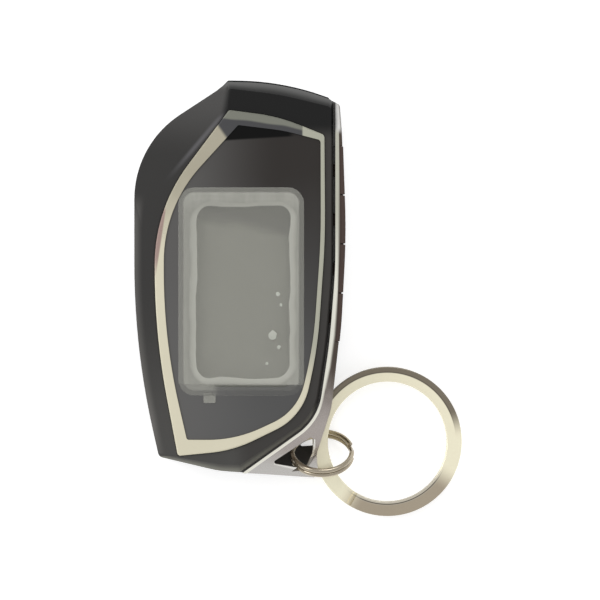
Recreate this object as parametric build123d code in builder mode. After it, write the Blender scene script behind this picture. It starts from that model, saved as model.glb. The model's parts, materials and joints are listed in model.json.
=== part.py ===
# Two-way car alarm remote with a display, on a split ring and a flat key ring.
# It lies on its back: +Z is out of the front face, +Y is towards its top end, in millimetres.
# The origin is on the flat back, under the middle of the case.
from build123d import *
from math import cos, hypot, pi, radians, sin
import os

# Case and clearances
case_wall = 1.5
back_thickness = 1.5
split_height = 8.0
edge_drop = 1.5
back_edge_radius = 2.0
fit_gap = 0.1
lip_height = 1.0
lip_thickness = 0.6
rear_peek = 0.5
seam_height = 0.3
seam_depth = 0.2

# Battery, an AAA cell, and its door
battery_radius = 5.25
battery_length = 44.5
battery_x = -7.5
battery_y = 1.0
battery_gap = 0.2
door_thickness = 1.3
door_width = 14.0
door_top_y = 26.0
door_tongue = 0.6
door_shelf = 1.0
compartment_rib = 0.8
compartment_gap = 0.3
plate_room = 0.5
spring_room = 4.0
contact_height = 7.0
grip_rows = 4
grip_pitch = 1.6
grip_width = 0.7
grip_depth = 0.4
grip_y = -30.0
grip_inset = 3.0
sound_hole_count = 6
sound_hole_radius = 0.6
sound_hole_circle = 3.0

# Board, display and lens, stacked from the battery towards the front
board_thickness = 0.6
board_clearance = 0.5
guide_thickness = 0.7
glass_thickness = 0.7
stack_gap = 0.05
ledge_gap = 0.15
ledge_thickness = 0.8
lens_thickness = 1.3
film_thickness = 0.12
bezel_rise = 0.3
bezel_chamfer = 0.25
front_rise = 1.0

# Display: the part that shows, the glass round it and the film on the lens
window_left = -9.6
window_right = 10.8
window_bottom = -22.0
window_top = 15.8
window_radius = 2.0
glass_margin = 2.0
strip_width = 1.6
holder_wall = 0.8
film_left = -12.4
film_right = 12.6
film_bottom = -23.1
film_top = 18.3
film_radius = 3.2
tab_width = 2.4
tab_length = 2.0
tab_x = -6.2

# Side buttons, from the top down, and the switches behind them
button_count = 4
button_length = 9.55
button_gap = 0.25
button_pitch = button_length + button_gap
button_top_y = 21.8
button_low = 6.9
button_high = 15.3
button_travel = 0.4
button_proud = 0.15
flange_thickness = 0.4
flange_lip = 0.6
stem_width = 2.4
stem_height = 1.8
switch_depth = 3.0
switch_length = 4.6
switch_height = 2.0
plunger_size = 1.4
plunger_reach = 0.7
running_gap = 0.05

# On the board and beside it
chip_x = 6.5
chip_y = 7.0
chip_size = 7.0
chip_height = 1.0
shield_x = 5.0
shield_y = 16.5
shield_length = 10.0
shield_width = 7.0
shield_height = 1.8
shield_sheet = 0.2
crystal_length = 5.0
crystal_width = 2.0
crystal_height = 1.2
small_chip = 1.6
buzzer_x = 6.5
buzzer_y = -11.0
buzzer_radius = 5.0
buzzer_height = 3.6
antenna_x = -16.1
antenna_z = 7.6
antenna_radius = 1.5
antenna_length = 24.0
antenna_pitch = 2.0
antenna_wire = 0.7
motor_x = 7.0
motor_y = 25.0
motor_z = 5.4
motor_radius = 2.0
motor_length = 8.0
sleeve_thickness = 0.6
sleeve_inset = 1.0
cradle_wall = 1.0
shaft_radius = 0.4
weight_gap = 0.6
weight_length = 3.0
weight_radius = 2.6
nub_radius = 1.9
nub_length = 0.8
contact_sheet = 0.4
spring_radius = 2.8
spring_pitch = 0.9
spring_wire = 0.5

# Side trim
trim_gap = 0.45
trim_low = 1.6
trim_widest = 9.5
trim_high = 16.3
trim_back_share = 0.5
trim_groove = 7.0
land_width = 0.55
lug_corners = 4
lug_top_height = 13.5
lug_top_slope = 0.8
lug_low_height = 5.3
lug_low_slope = 0.05
eyelet_waist = 7.0
eyelet_low_flare = 2.0
eyelet_top_flare = 1.0
lug_floor_thickness = 0.6

# Screws
screw_radius = 1.0
screw_head_radius = 1.8
screw_head_height = 1.2
screw_sink = 0.4
boss_radius = 2.2
screw_places = [(-4.0, 32.4), (12.4, 30.6), (7.0, -28.4)]
board_screw_radius = 0.8
board_boss_radius = 1.6
board_screw_places = [(-15.6, 10.0), (-14.6, -20.0)]
pilot_gap = 0.02

# Split ring, two turns of round wire
split_ring_outer = 6.5
split_ring_wire = 1.0
split_ring_tilt = 50.0
split_ring_x = 16.2
split_ring_y = -34.8
split_ring_z = 5.55

# Key ring, two flat coils
key_ring_outer = 15.0
key_ring_inner = 12.0
key_ring_coil = 1.0
key_ring_x = 29.3
key_ring_y = -32.5
key_ring_tilt = 4.1
key_ring_start = 240.0
key_ring_step = 14.0
split_ring_start = 20.0
split_ring_step = 30.0
coil_gap = 0.04
flat_wire_round = 0.2
step_sections = 6

# Heights that follow from the stack
battery_z = door_thickness + battery_gap + battery_radius
board_low = battery_z + battery_radius + battery_gap
board_high = board_low + board_thickness
stem_z = board_low - switch_height / 2
guide_high = board_high + stack_gap + guide_thickness
rear_glass_high = guide_high + stack_gap + glass_thickness
front_glass_high = rear_glass_high + glass_thickness
ledge_low = front_glass_high + ledge_gap
recess_floor = ledge_low + ledge_thickness
front_height = recess_floor + front_rise
lens_high = recess_floor + lens_thickness
bezel_high = lens_high + bezel_rise
edge_height = front_height - edge_drop

# Outlines, each a list of corners (x, y, rounding radius) joined by straight runs
seam_corners = [
    (-0.2, -38.4, 0.6),
    (14.95, -27.6, 11.0),
    (17.25, -12.5, 100.0),
    (18.4, 2.0, 100.0),
    (18.4, 35.65, 1.2),
]
left_corners = [
    (-2.6, 39.35, 0.6),
    (-4.85, 37.55, 1.0),
    (-21.2, 26.85, 20.0),
    (-21.2, -13.6, 150.0),
    (-16.3, -35.3, 1.2),
    (-4.5, -38.1, 20.0),
]
top_corner = (8.46, 39.13, 52.0)
case_corners = left_corners + seam_corners + [top_corner]

# The front face inside its sloping margin: the ridge, the bezel's left side, then round the right
front_corners = [
    (-2.4, 38.0, 0.4),
    (-2.5, 34.1, 0.8),
    (-17.45, 13.95, 33.0),
    (-17.45, -10.85, 130.0),
    (-12.7, -35.4, 0.8),
    (-4.0, -36.8, 10.0),
    (-0.1, -36.9, 0.4),
    (14.4, -27.3, 10.6),
    (16.8, -12.3, 100.0),
    (17.95, 2.0, 100.0),
    (17.95, 34.3, 0.8),
    (8.2, 36.7, 60.0),
]
bezel_corners = [
    (-2.3, 33.7, 0.5),
    (-17.1, 13.9, 33.0),
    (-17.1, -10.8, 140.0),
    (-12.5, -35.1, 0.6),
    (-1.5, -34.05, 25.0),
    (12.3, -27.3, 12.0),
    (15.3, -13.5, 80.0),
    (16.8, 8.0, 150.0),
    (16.65, 28.75, 0.9),
    (7.5, 32.4, 35.0),
]
lens_corners = [
    (-0.5, 30.7, 0.5),
    (-15.3, 14.4, 28.0),
    (-15.3, -12.0, 120.0),
    (-10.7, -31.9, 0.5),
    (-1.0, -31.95, 25.0),
    (11.3, -26.2, 11.0),
    (14.45, -13.5, 80.0),
    (15.95, 8.0, 150.0),
    (15.9, 27.7, 0.7),
    (8.5, 29.6, 30.0),
]

# The side trim's outer side at its widest, at its front land and at its back, from the tip up,
# closed by the same points inside the case
trim_inside = [(15.0, 34.0, 0.3), (14.0, 0.0, 2.0), (11.0, -25.0, 3.0), (3.0, -33.0, 3.0)]
trim_wide_corners = [
    (-0.7, -38.5, 0.2),
    (6.0, -39.0, 30.0),
    (15.5, -39.75, 0.9),
    (15.1, -35.0, 3.0),
    (18.1, -25.7, 15.0),
    (19.95, -9.0, 80.0),
    (20.9, 9.0, 150.0),
    (20.2, 29.0, 60.0),
    (19.75, 34.9, 0.8),
    (18.2, 35.75, 0.3),
] + trim_inside
land_inset = [0.0, 0.0, 0.0, 0.0, 0.6, 0.85, 1.15, 0.65, 0.5, 0.1]
eyelet_corners = [(6.0, -36.7, 0.4), (14.7, -31.0, 0.6), (14.3, -34.6, 2.2), (12.8, -37.9, 0.6)]
lug_floor_corners = [(0.0, -38.2, 0.2), (11.0, -38.6, 1.0), (14.2, -38.2, 1.0), (15.0, -35.4, 0.6),
                     (15.0, -33.3, 0.4), (12.0, -33.5, 0.4), (10.9, -30.0, 0.6), (4.0, -33.0, 1.0)]


def outline(corners):
    points = [(x, y) for x, y, _ in corners]
    return FilletPolyline(*points, radius=[radius for _, _, radius in corners], close=True)


def region(corners, grow=0.0):
    with BuildSketch() as area:
        with BuildLine():
            outline(corners)
        make_face()
        if grow:
            offset(amount=grow)
    return area.sketch


def slab(area, low, high, mode=Mode.ADD):
    with BuildSketch(Plane.XY.offset(low)) as section:
        add(area)
    extrude(section.sketch, amount=high - low, mode=mode)


def block(x_low, x_high, y_low, y_high, z_low, z_high, mode=Mode.ADD):
    with Locations(((x_low + x_high) / 2, (y_low + y_high) / 2, (z_low + z_high) / 2)):
        Box(x_high - x_low, y_high - y_low, z_high - z_low, mode=mode)


def rod(x, y, z_low, z_high, radius, mode=Mode.ADD):
    with Locations((x, y, (z_low + z_high) / 2)):
        Cylinder(radius, z_high - z_low, mode=mode)


def panel(left, right, bottom, top, radius, low, high, mode=Mode.ADD):
    with BuildSketch(Plane.XY.offset(low)) as section:
        with Locations(((left + right) / 2, (bottom + top) / 2)):
            RectangleRounded(right - left, top - bottom, radius)
    extrude(section.sketch, amount=high - low, mode=mode)


def seam_x(y):
    """Where the case's right side is at a height y along it."""
    for (x_a, y_a, _), (x_b, y_b, _) in zip(seam_corners, seam_corners[1:]):
        if y_a <= y <= y_b:
            return x_a + (x_b - x_a) * (y - y_a) / (y_b - y_a)
    return seam_corners[-1][0]


def save(piece, name):
    piece.part.label = name
    export_step(piece.part, f"parts/{name}.step")


os.makedirs("parts", exist_ok=True)
case_area = region(case_corners)
cavity_area = region(case_corners, -case_wall)
button_places = [button_top_y - index * button_pitch for index in range(button_count)]

# Front housing: walls, sloping margin, face with the bezel's recess, display opening
with BuildPart() as front_housing:
    slab(region(case_corners, -seam_depth), split_height, split_height + seam_height)
    slab(case_area, split_height + seam_height, edge_height)
    with BuildSketch(Plane.XY.offset(edge_height)):
        add(case_area)
    with BuildSketch(Plane.XY.offset(front_height)):
        add(region(front_corners))
    loft(ruled=True)
    slab(cavity_area, split_height, ledge_low, Mode.SUBTRACT)
    slab(region(bezel_corners, fit_gap), recess_floor, bezel_high, Mode.SUBTRACT)
    panel(window_left, window_right, window_bottom, window_top, window_radius,
          ledge_low - case_wall, recess_floor, Mode.SUBTRACT)
    for x, y in screw_places:
        rod(x, y, split_height, ledge_low, boss_radius)
    for x, y in screw_places:
        rod(x, y, split_height, ledge_low - stack_gap, screw_radius + pilot_gap, Mode.SUBTRACT)
    for x, y in board_screw_places:
        rod(x, y, board_high, ledge_low, board_boss_radius)
        rod(x, y, board_high, ledge_low - stack_gap, board_screw_radius + pilot_gap, Mode.SUBTRACT)
    for y in button_places:
        block(seam_x(y) - 2 * case_wall, seam_x(y) + case_wall,
              y - stem_width / 2 - fit_gap, y + stem_width / 2 + fit_gap,
              stem_z - stem_height / 2 - fit_gap, stem_z + stem_height / 2 + fit_gap, Mode.SUBTRACT)
save(front_housing, "front_housing")

# Rear cover: its top edge stands a little past the front housing, and its floor carries the
# battery door's channel, the battery compartment, the screw bosses and the motor's cradle
apex_x, apex_y, apex_radius = left_corners[0]
end_x, end_y, end_radius = seam_corners[-1]
top_x, top_y, top_radius = top_corner
rear_corners = (
    [(apex_x, apex_y + rear_peek, apex_radius)] + left_corners[1:] + seam_corners[:-1]
    + [(end_x, end_y - 1.5 * rear_peek, end_radius / 2),
       (end_x - 1.8 * rear_peek, end_y + 1.5 * rear_peek, end_radius / 4),
       (top_x, top_y + rear_peek, top_radius)]
)
door_left = battery_x - door_width / 2
door_right = battery_x + door_width / 2
door_floor_high = door_thickness + fit_gap + door_shelf
compartment_top = battery_y + battery_length / 2 + plate_room
compartment_low = battery_y - battery_length / 2 - spring_room
compartment_half = battery_radius + compartment_gap


def rear_block():
    slab(region(rear_corners), 0, split_height)
    fillet(edges().group_by(Axis.Z)[0], back_edge_radius)


def door_profile(grow, low):
    with BuildSketch(Plane.XZ.offset(-door_top_y - grow)) as profile:
        with Locations((battery_x, (low + door_thickness + grow) / 2)):
            Rectangle(door_width + 2 * grow, door_thickness + grow - low)
        with Locations((battery_x, door_thickness / 2)):
            Rectangle(door_width + 2 * door_tongue + 2 * grow, door_tongue + 2 * grow)
    return profile.sketch


with BuildPart() as rear_cover:
    rear_block()
    slab(region(lug_floor_corners), 0, lug_floor_thickness)
    slab(cavity_area, back_thickness, split_height, Mode.SUBTRACT)
    with BuildSketch(Plane.XY.offset(split_height - 2 * lip_height)):
        add(region(case_corners, lip_thickness - case_wall))
        add(region(case_corners, -case_wall - fit_gap - lip_thickness), mode=Mode.SUBTRACT)
    extrude(amount=2 * lip_height)
    with BuildSketch(Plane.XY.offset(split_height)):
        add(region(case_corners, -case_wall - fit_gap))
        add(region(case_corners, -case_wall - fit_gap - lip_thickness), mode=Mode.SUBTRACT)
    extrude(amount=lip_height)
    for x, y in screw_places:
        rod(x, y, split_height, split_height + lip_height, boss_radius + fit_gap, Mode.SUBTRACT)
    with BuildSketch(Plane.XY.offset(back_thickness)):
        with Locations((battery_x, (door_top_y + compartment_low) / 2 - case_wall)):
            Rectangle(door_width + 2 * case_wall + 2 * door_tongue,
                      door_top_y - compartment_low + 4 * case_wall)
        add(cavity_area, mode=Mode.INTERSECT)
    extrude(amount=door_floor_high - back_thickness)
    block(battery_x - compartment_half - compartment_rib, battery_x + compartment_half + compartment_rib,
          compartment_low - compartment_rib, compartment_top + compartment_rib,
          back_thickness, battery_z + contact_height / 2)
    for x, y in screw_places:
        rod(x, y, back_thickness, split_height - stack_gap, boss_radius)
    block(motor_x - motor_length / 2 + sleeve_inset, motor_x + motor_length / 2 - sleeve_inset,
          motor_y - motor_radius - sleeve_thickness - cradle_wall,
          motor_y + motor_radius + sleeve_thickness + cradle_wall, back_thickness, motor_z)
    with Locations(Location((motor_x, motor_y, motor_z), (0, 90, 0))):
        Cylinder(motor_radius + sleeve_thickness, motor_length, mode=Mode.SUBTRACT)
    block(battery_x - compartment_half, battery_x + compartment_half,
          compartment_low, compartment_top, 0, board_low, Mode.SUBTRACT)
    extrude(door_profile(fit_gap, -1.0), amount=2 * battery_length + fit_gap, mode=Mode.SUBTRACT)
    for x, y in screw_places:
        rod(x, y, 0, split_height, screw_radius + fit_gap, Mode.SUBTRACT)
        rod(x, y, 0, screw_sink + screw_head_height, screw_head_radius + fit_gap, Mode.SUBTRACT)
    with Locations((buzzer_x, buzzer_y, back_thickness / 2)):
        with PolarLocations(sound_hole_circle, sound_hole_count):
            Cylinder(sound_hole_radius, 2 * back_thickness, mode=Mode.SUBTRACT)
save(rear_cover, "rear_cover")

with BuildPart() as battery_door:
    rear_block()
    extrude(door_profile(0, 0), amount=2 * battery_length, mode=Mode.INTERSECT)
    for row in range(grip_rows):
        grip_low = grip_y + row * grip_pitch
        block(door_left + grip_inset, door_right - grip_inset, grip_low, grip_low + grip_width,
              0, grip_depth, Mode.SUBTRACT)
save(battery_door, "battery_door")

# Front trim: bezel, lens and the thin film on it
with BuildPart() as bezel_frame:
    slab(region(bezel_corners), recess_floor, bezel_high)
    chamfer(edges().group_by(Axis.Z)[-1], bezel_chamfer)
    slab(region(lens_corners), recess_floor, bezel_high, Mode.SUBTRACT)
save(bezel_frame, "bezel_frame")

with BuildPart() as lens_window:
    slab(region(lens_corners, -stack_gap), recess_floor, lens_high)
save(lens_window, "lens_window")

with BuildPart() as protective_film:
    panel(film_left, film_right, film_bottom, film_top, film_radius, lens_high, lens_high + film_thickness)
    panel(tab_x - tab_width / 2, tab_x + tab_width / 2, film_bottom - tab_length, film_bottom + tab_length,
          tab_width / 3, lens_high, lens_high + film_thickness)
save(protective_film, "protective_film")

# Display: two glasses over a light guide, in a frame, on conductive rubber strips
glass_left = window_left - glass_margin
glass_right = window_right + glass_margin
glass_low = window_bottom - glass_margin
glass_top = window_top + glass_margin
with BuildPart() as lcd_front_glass:
    block(glass_left, glass_right, glass_low, glass_top, rear_glass_high, front_glass_high)
save(lcd_front_glass, "lcd_front_glass")

with BuildPart() as lcd_rear_glass:
    block(glass_left, glass_right, glass_low + strip_width, glass_top - strip_width,
          rear_glass_high - glass_thickness, rear_glass_high)
save(lcd_rear_glass, "lcd_rear_glass")

with BuildPart() as backlight_guide:
    block(glass_left + strip_width, glass_right - strip_width, glass_low + strip_width + fit_gap,
          glass_top - strip_width - fit_gap, guide_high - guide_thickness, guide_high)
save(backlight_guide, "backlight_guide")

for name, low in (("contact_strip_bottom", glass_low), ("contact_strip_top", glass_top - strip_width + fit_gap)):
    with BuildPart() as contact_strip:
        block(glass_left, glass_right, low, low + strip_width - fit_gap, board_high, rear_glass_high)
    save(contact_strip, name)

with BuildPart() as lcd_holder:
    block(glass_left - fit_gap - holder_wall, glass_right + fit_gap + holder_wall,
          glass_low - fit_gap - holder_wall, glass_top + fit_gap + holder_wall, board_high, front_glass_high)
    block(glass_left - fit_gap, glass_right + fit_gap, glass_low - fit_gap, glass_top + fit_gap,
          board_high, front_glass_high, Mode.SUBTRACT)
    slab(region(case_corners, -case_wall - fit_gap), board_high, front_glass_high, Mode.INTERSECT)
save(lcd_holder, "lcd_holder")

# Board, with room for the case bosses, and what is soldered to it
with BuildPart() as main_board:
    slab(region(case_corners, -case_wall - board_clearance), board_low, board_high)
    for x, y in screw_places:
        rod(x, y, board_low, board_high, boss_radius + 3 * fit_gap, Mode.SUBTRACT)
    for x, y in board_screw_places:
        rod(x, y, board_low, board_high, board_screw_radius + fit_gap, Mode.SUBTRACT)
save(main_board, "main_board")

with BuildPart() as microcontroller:
    block(chip_x - chip_size / 2, chip_x + chip_size / 2, chip_y - chip_size / 2, chip_y + chip_size / 2,
          board_low - chip_height, board_low)
    chamfer(edges().group_by(Axis.Z)[0], chip_height / 5)
save(microcontroller, "microcontroller")

with BuildPart() as radio_shield:
    block(shield_x - shield_length / 2, shield_x + shield_length / 2,
          shield_y - shield_width / 2, shield_y + shield_width / 2, board_low - shield_height, board_low)
    fillet(edges().filter_by(Axis.Z), shield_height / 4)
    offset(amount=-shield_sheet, openings=faces().sort_by(Axis.Z)[-1])
save(radio_shield, "radio_shield")

with BuildPart() as clock_crystal:
    with BuildSketch(Plane.XY.offset(board_low - crystal_height)):
        with Locations((chip_x, chip_y - chip_size)):
            SlotOverall(crystal_length, crystal_width)
    extrude(amount=crystal_height)
save(clock_crystal, "clock_crystal")

with BuildPart() as chip_parts:
    with Locations((antenna_x - small_chip / 4, 0, board_high + small_chip / 4)):
        with GridLocations(2 * small_chip, 2 * small_chip, 2, 5):
            Box(small_chip / 2, small_chip, small_chip / 2)
save(chip_parts, "chip_parts")

with BuildPart() as backlight_leds:
    for y in (-window_bottom / 3, window_bottom / 3):
        block(glass_left, glass_left + strip_width - fit_gap, y - small_chip / 2, y + small_chip / 2,
              board_high, guide_high)
save(backlight_leds, "backlight_leds")

with BuildPart() as antenna_coil:
    with BuildLine() as antenna_path:
        Helix(antenna_pitch, antenna_length, antenna_radius,
              center=(antenna_x, -antenna_length / 2, antenna_z), direction=(0, 1, 0))
    with BuildSketch(Plane(origin=antenna_path.line @ 0, z_dir=antenna_path.line % 0)):
        Circle(antenna_wire / 2)
    sweep()
    lead_x, lead_y, lead_z = antenna_path.line @ 0
    lead_radius = 0.6 * antenna_wire
    rod(lead_x, lead_y, lead_z - lead_radius, board_low, lead_radius)
save(antenna_coil, "antenna_coil")

with BuildPart() as buzzer:
    rod(buzzer_x, buzzer_y, board_low - buzzer_height, board_low, buzzer_radius)
    rod(buzzer_x, buzzer_y, board_low - buzzer_height, board_low - buzzer_height + stem_width / 2,
        plunger_size / 2, Mode.SUBTRACT)
save(buzzer, "buzzer")

# Vibration motor in its rubber sleeve, with an eccentric weight on its shaft
motor_end = motor_x + motor_length / 2


def motor_cylinder(x_low, x_high, radius, mode=Mode.ADD):
    with Locations(Location(((x_low + x_high) / 2, motor_y, motor_z), (0, 90, 0))):
        Cylinder(radius, x_high - x_low, mode=mode)


with BuildPart() as motor_can:
    motor_cylinder(motor_x - motor_length / 2, motor_end, motor_radius)
    motor_cylinder(motor_x, motor_end, shaft_radius + running_gap, Mode.SUBTRACT)
save(motor_can, "motor_can")

with BuildPart() as motor_sleeve:
    motor_cylinder(motor_x - motor_length / 2 + sleeve_inset, motor_end - sleeve_inset,
                   motor_radius + sleeve_thickness)
    motor_cylinder(motor_x - motor_length / 2, motor_end, motor_radius, Mode.SUBTRACT)
save(motor_sleeve, "motor_sleeve")

with BuildPart() as motor_shaft:
    motor_cylinder(motor_x + fit_gap, motor_end + weight_gap + weight_length, shaft_radius)
save(motor_shaft, "motor_shaft")

with BuildPart() as eccentric_weight:
    motor_cylinder(motor_end + weight_gap, motor_end + weight_gap + weight_length, weight_radius)
    block(motor_end, motor_end + 2 * weight_length, motor_y - weight_radius, motor_y + weight_radius,
          motor_z + 2 * shaft_radius, motor_z + weight_radius + weight_gap, Mode.SUBTRACT)
    motor_cylinder(motor_end, motor_end + 2 * weight_length, shaft_radius, Mode.SUBTRACT)
save(eccentric_weight, "eccentric_weight")

# Battery and its contacts
battery_low_end = battery_y - battery_length / 2
battery_top_end = battery_y + battery_length / 2
with BuildPart() as battery:
    with BuildSketch(Plane.XZ.offset(-battery_low_end)):
        with Locations((battery_x, battery_z)):
            Circle(battery_radius)
    extrude(amount=-(battery_length - nub_length))
    fillet(edges().filter_by(GeomType.CIRCLE), battery_gap * 2)
    with BuildSketch(Plane.XZ.offset(-battery_top_end)):
        with Locations((battery_x, battery_z)):
            Circle(nub_radius)
    extrude(amount=nub_length + battery_gap)
save(battery, "battery")

with BuildPart() as battery_plate_contact:
    block(battery_x - contact_height / 2, battery_x + contact_height / 2,
          battery_top_end, battery_top_end + contact_sheet,
          battery_z - contact_height / 2, battery_z + contact_height / 2)
    block(battery_x - stem_width / 2, battery_x + stem_width / 2,
          battery_top_end, battery_top_end + contact_sheet, battery_z, board_low)
save(battery_plate_contact, "battery_plate_contact")

with BuildPart() as battery_spring:
    with BuildLine() as spring_path:
        Helix(spring_pitch, spring_room - contact_sheet - spring_wire, spring_radius,
              center=(battery_x, compartment_low + contact_sheet + spring_wire / 2, battery_z),
              direction=(0, 1, 0))
    with BuildSketch(Plane(origin=spring_path.line @ 0, z_dir=spring_path.line % 0)):
        Circle(spring_wire / 2)
    sweep()
    block(battery_x - contact_height / 2, battery_x + contact_height / 2,
          compartment_low, compartment_low + contact_sheet + spring_wire / 4,
          battery_z - contact_height / 2, battery_z + contact_height / 2)
    block(battery_x - stem_width / 2, battery_x + stem_width / 2,
          compartment_low, compartment_low + contact_sheet, battery_z, board_low)
save(battery_spring, "battery_spring")

# Screws, with a cross in each head
with BuildPart() as case_screws:
    for x, y in screw_places:
        rod(x, y, screw_sink, screw_sink + screw_head_height, screw_head_radius)
        rod(x, y, screw_sink, ledge_low - case_wall, screw_radius)
        for turn in (0, 90):
            with Locations(Location((x, y, screw_sink), (0, 0, turn))):
                Box(1.4 * screw_head_radius, screw_radius / 2, screw_head_height, mode=Mode.SUBTRACT)
save(case_screws, "case_screws")

with BuildPart() as board_screws:
    for x, y in board_screw_places:
        rod(x, y, board_low - board_screw_radius, board_low, 1.6 * board_screw_radius)
        rod(x, y, board_low, ledge_low - case_wall / 2, board_screw_radius)
save(board_screws, "board_screws")

# Side trim: a rail along the case's right side that ends in a lug with the eyelet. Its shape is
# lofted from its back through its widest height to its front land
rail_corners = len(land_inset)


def trim_section(inset_share, height, grow):
    corners = []
    for index, (x, y, radius) in enumerate(trim_wide_corners):
        inset = land_inset[index] * inset_share if index < rail_corners else 0.0
        swell = grow if lug_corners <= index < rail_corners else 0.0
        corners.append((x - inset + swell, y, radius))
    with BuildSketch(Plane.XY.offset(height)) as section:
        add(region(corners))
    return section.sketch


def rail_block(grow):
    loft([trim_section(trim_back_share, trim_low, grow), trim_section(0.0, trim_widest, grow)], ruled=True)
    loft([trim_section(0.0, trim_widest, grow), trim_section(1.0, trim_high, grow)], ruled=True)


lug_x, lug_y, _ = seam_corners[0]
lug_end_x, lug_end_y, _ = seam_corners[1]
lug_run = hypot(lug_end_x - lug_x, lug_end_y - lug_y)
lug_out_x = (lug_end_y - lug_y) / lug_run
lug_out_y = -(lug_end_x - lug_x) / lug_run
slot_low = button_places[-1] - button_length / 2 - fit_gap
slot_top = button_places[0] + button_length / 2 + fit_gap
button_inner = trim_gap + stack_gap
pocket_depth = button_inner + flange_thickness + fit_gap
outside_x = 2 * end_x

with BuildPart() as flange_pocket:
    slab(region(case_corners, pocket_depth), button_low - flange_lip, button_high + flange_lip)
    block(0, outside_x, slot_low, slot_top, button_low - flange_lip, button_high + flange_lip, Mode.INTERSECT)

# Its front land runs on along the case as a rim, past the lug to the tip
with BuildPart() as land_rim:
    rail_block(0.0)
    slab(region(case_corners, trim_gap + land_width), lug_low_height + land_width, trim_high, Mode.INTERSECT)
    slab(region(case_corners, trim_gap), trim_low, trim_high, Mode.SUBTRACT)
    block(0, outside_x, -outside_x - front_height, slot_low, trim_low, trim_high, Mode.INTERSECT)

with BuildPart() as side_trim:
    rail_block(0.0)
    slab(case_area, trim_low, trim_high, Mode.SUBTRACT)
    slab(region(rear_corners), trim_low, split_height, Mode.SUBTRACT)
    slab(region(case_corners, trim_gap), trim_high - trim_groove, trim_high, Mode.SUBTRACT)
    split(bisect_by=Plane(origin=(lug_x, lug_y, lug_top_height),
                          z_dir=(lug_top_slope * lug_out_x, lug_top_slope * lug_out_y, 1)),
          keep=Keep.BOTTOM)
    split(bisect_by=Plane(origin=(lug_x, lug_y, lug_low_height),
                          z_dir=(-lug_low_slope * lug_out_x, -lug_low_slope * lug_out_y, 1)),
          keep=Keep.TOP)
    add(land_rim.part)
    slab(region(eyelet_corners), trim_low, trim_high, Mode.SUBTRACT)
    for height, flare in ((lug_low_height - stack_gap, eyelet_low_flare),
                          (eyelet_waist + eyelet_waist - lug_low_height, eyelet_top_flare)):
        with BuildSketch(Plane.XY.offset(eyelet_waist)) as waist:
            add(region(eyelet_corners))
        with BuildSketch(Plane.XY.offset(height)) as mouth:
            add(region(eyelet_corners, flare))
        loft([waist.sketch, mouth.sketch], ruled=True, mode=Mode.SUBTRACT)
    block(0, outside_x, slot_low, slot_top, button_low, button_high, Mode.SUBTRACT)
    add(flange_pocket.part, mode=Mode.SUBTRACT)
save(side_trim, "side_trim")

# Side buttons: caps that fill the rail's slot, a flange behind it and a stem to the switch plunger
with BuildPart() as button_bank:
    rail_block(button_proud)
    block(0, outside_x, slot_low, slot_top, button_low + fit_gap, button_high - fit_gap, Mode.INTERSECT)
    slab(region(case_corners, button_inner), button_low, button_high, Mode.SUBTRACT)

with BuildPart() as flange_bank:
    slab(region(case_corners, button_inner + flange_thickness), button_low - flange_lip + fit_gap,
         button_high + flange_lip - fit_gap)
    slab(region(case_corners, button_inner), button_low - flange_lip, button_high + flange_lip, Mode.SUBTRACT)
    block(0, outside_x, slot_low, slot_top, 0, front_height, Mode.INTERSECT)

stem_reach = case_wall + 2 * fit_gap
for number, y in enumerate(button_places, 1):
    stem_x = seam_x(y) - stem_reach
    switch_x = stem_x - plunger_reach
    with BuildPart() as side_button:
        add(button_bank.part)
        add(flange_bank.part)
        block(0, outside_x, y - button_length / 2, y + button_length / 2, 0, front_height, Mode.INTERSECT)
        block(stem_x, seam_x(y) + pocket_depth, y - stem_width / 2, y + stem_width / 2,
              stem_z - stem_height / 2, stem_z + stem_height / 2)
    save(side_button, f"side_button_{number}")
    with BuildPart() as tact_switch:
        block(switch_x - switch_depth, switch_x, y - switch_length / 2, y + switch_length / 2,
              board_low - switch_height, board_low)
        block(switch_x - switch_depth / 2, switch_x, y - plunger_size / 2 - running_gap,
              y + plunger_size / 2 + running_gap, stem_z - plunger_size / 2 - running_gap,
              stem_z + plunger_size / 2 + running_gap, Mode.SUBTRACT)
    save(tact_switch, f"tact_switch_{number}")
    with BuildPart() as switch_plunger:
        block(switch_x - switch_depth / 2 + button_travel + fit_gap, stem_x, y - plunger_size / 2,
              y + plunger_size / 2, stem_z - plunger_size / 2, stem_z + plunger_size / 2)
    save(switch_plunger, f"switch_plunger_{number}")

# Rings. Each is one wire that runs round once, steps down a layer and runs round again


def coil_plane(frame, angle):
    radial = frame.x_dir * cos(radians(angle)) + frame.y_dir * sin(radians(angle))
    return Plane(origin=frame.origin, x_dir=radial, z_dir=radial.cross(frame.z_dir))


def coil_section(frame, angle, radius, height, width, thickness):
    with BuildSketch(coil_plane(frame, angle)) as section:
        with Locations((radius, height)):
            if width == thickness:
                Circle(width / 2)
            else:
                RectangleRounded(width, thickness, thickness * flat_wire_round)
    return section.sketch


def two_turns(frame, radius, width, thickness, start, step):
    rise = (thickness + coil_gap) / 2
    axis = Axis(frame.origin, frame.z_dir)
    for height in (rise, -rise):
        revolve(coil_section(frame, start, radius, height, width, thickness), axis, 360 - step)
    sections = []
    for index in range(step_sections):
        share = index / (step_sections - 1)
        height = rise * cos(pi * share)
        sections.append(coil_section(frame, start - step + step * share, radius, height, width, thickness))
    loft(sections, ruled=True)


split_ring_frame = Plane(
    origin=(split_ring_x, split_ring_y, split_ring_z), x_dir=(1, 0, 0),
    z_dir=(0, sin(radians(split_ring_tilt)), cos(radians(split_ring_tilt))))
with BuildPart() as split_ring:
    two_turns(split_ring_frame, split_ring_outer - split_ring_wire / 2, split_ring_wire, split_ring_wire,
              split_ring_start, split_ring_step)
save(split_ring, "split_ring")

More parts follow.
